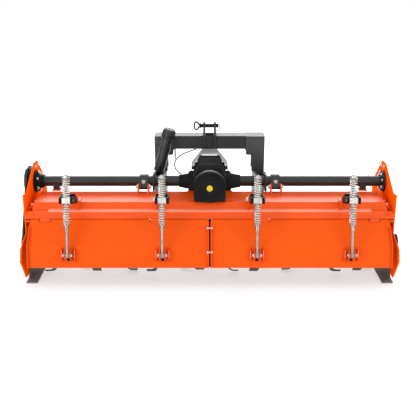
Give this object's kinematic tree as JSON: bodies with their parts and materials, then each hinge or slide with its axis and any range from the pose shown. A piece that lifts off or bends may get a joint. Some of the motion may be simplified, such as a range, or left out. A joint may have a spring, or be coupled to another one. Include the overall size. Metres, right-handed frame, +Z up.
{
  "type": "rotary tiller",
  "caption": "Three-point hitch rotary tiller with a gear-driven tined rotor under an orange hood, a sprung hinged tailboard, side skids and a black hitch gantry.",
  "frame": {"origin": "on the ground at the middle of the machine's width and length, under the skids", "axes": "+X to the right seen from behind, +Y forwards towards the tractor, +Z up"},
  "size_m": [2.47, 0.9139, 0.902],
  "materials": {
    "orange_paint": "gloss",
    "black_paint": "satin",
    "black_iron": "satin paint over a cast surface",
    "tine_steel": "matt",
    "zinc_plate": "zinc plated",
    "bare_steel": "machined",
    "yellow_plastic": "gloss",
    "black_plastic": "satin",
    "black_rubber": "matt"
  },
  "bodies": {
    "frame": {"hood": "orange_paint", "hood_brackets": "orange_paint", "side_plate_left": "orange_paint", "side_plate_right": "orange_paint", "hinge_pin": "orange_paint", "cross_tube": "black_paint", "left_hub": "black_iron", "right_flange": "black_paint", "gearbox": "black_iron", "gearbox_cover": "black_iron", "oil_plug": "yellow_plastic", "pto_guard": "black_paint", "drive_case": "black_iron", "drive_case_cover": "black_paint", "bearing_right": "black_iron", "hitch_beam": "black_paint", "hitch_posts": "black_paint", "hitch_side_plates": "black_paint", "top_ears": "black_paint", "top_pin": "bare_steel", "lower_pins": "bare_steel", "tube_clamps": "black_paint", "spring_arms": "black_paint", "skid_left": "black_paint", "skid_right": "black_paint", "manual_canister": "black_plastic", "canister_cap": "black_plastic", "canister_clips": "black_plastic", "breather_hose": "black_rubber"},
    "rotor": {"rotor_shaft": "black_paint", "tine_wheels": "tine_steel"},
    "pto_shaft": {"pto_stub": "bare_steel"},
    "tailboard": {"tailboard_left": "orange_paint", "tailboard_right": "orange_paint", "tailboard_brackets": "orange_paint"},
    "swivels": {"rod_swivels": "zinc_plate", "upper_springs": "zinc_plate", "lower_springs": "zinc_plate"},
    "rods": {"spring_rods": "zinc_plate"}
  },
  "joints": [
    {"name": "rotor_spin", "type": "hinge", "parent": "frame", "child": "rotor", "pos_m": [0, -0.134, 0.202], "axis": [-1, 0, 0], "continuous": true},
    {"name": "pto_spin", "type": "hinge", "parent": "frame", "child": "pto_shaft", "pos_m": [0, 0.221, 0.61], "axis": [0, 1, 0], "continuous": true},
    {"name": "tailboard_hinge", "type": "hinge", "parent": "frame", "child": "tailboard", "pos_m": [0, -0.251, 0.391], "axis": [-1, 0, 0], "range_deg": [0, 28]},
    {"name": "rod_swivel", "type": "hinge", "parent": "frame", "child": "swivels", "pos_m": [0, -0.357, 0.564], "axis": [-1, 0, 0], "range_deg": [0, 16.81]},
    {"name": "rod_slide", "type": "slide", "parent": "swivels", "child": "rods", "axis": [0, 0.2398, 0.9708], "range_m": [0, 0.0784], "deforming": ["lower_springs"]}
  ],
  "couplings": [
    {"joint": "pto_spin", "follows": "rotor_spin", "ratio": 2.5},
    {"joint": "rod_swivel", "follows": "tailboard_hinge", "ratio": 0.60026},
    {"joint": "rod_slide", "follows": "tailboard_hinge", "m_per_rad": 0.16032}
  ]
}
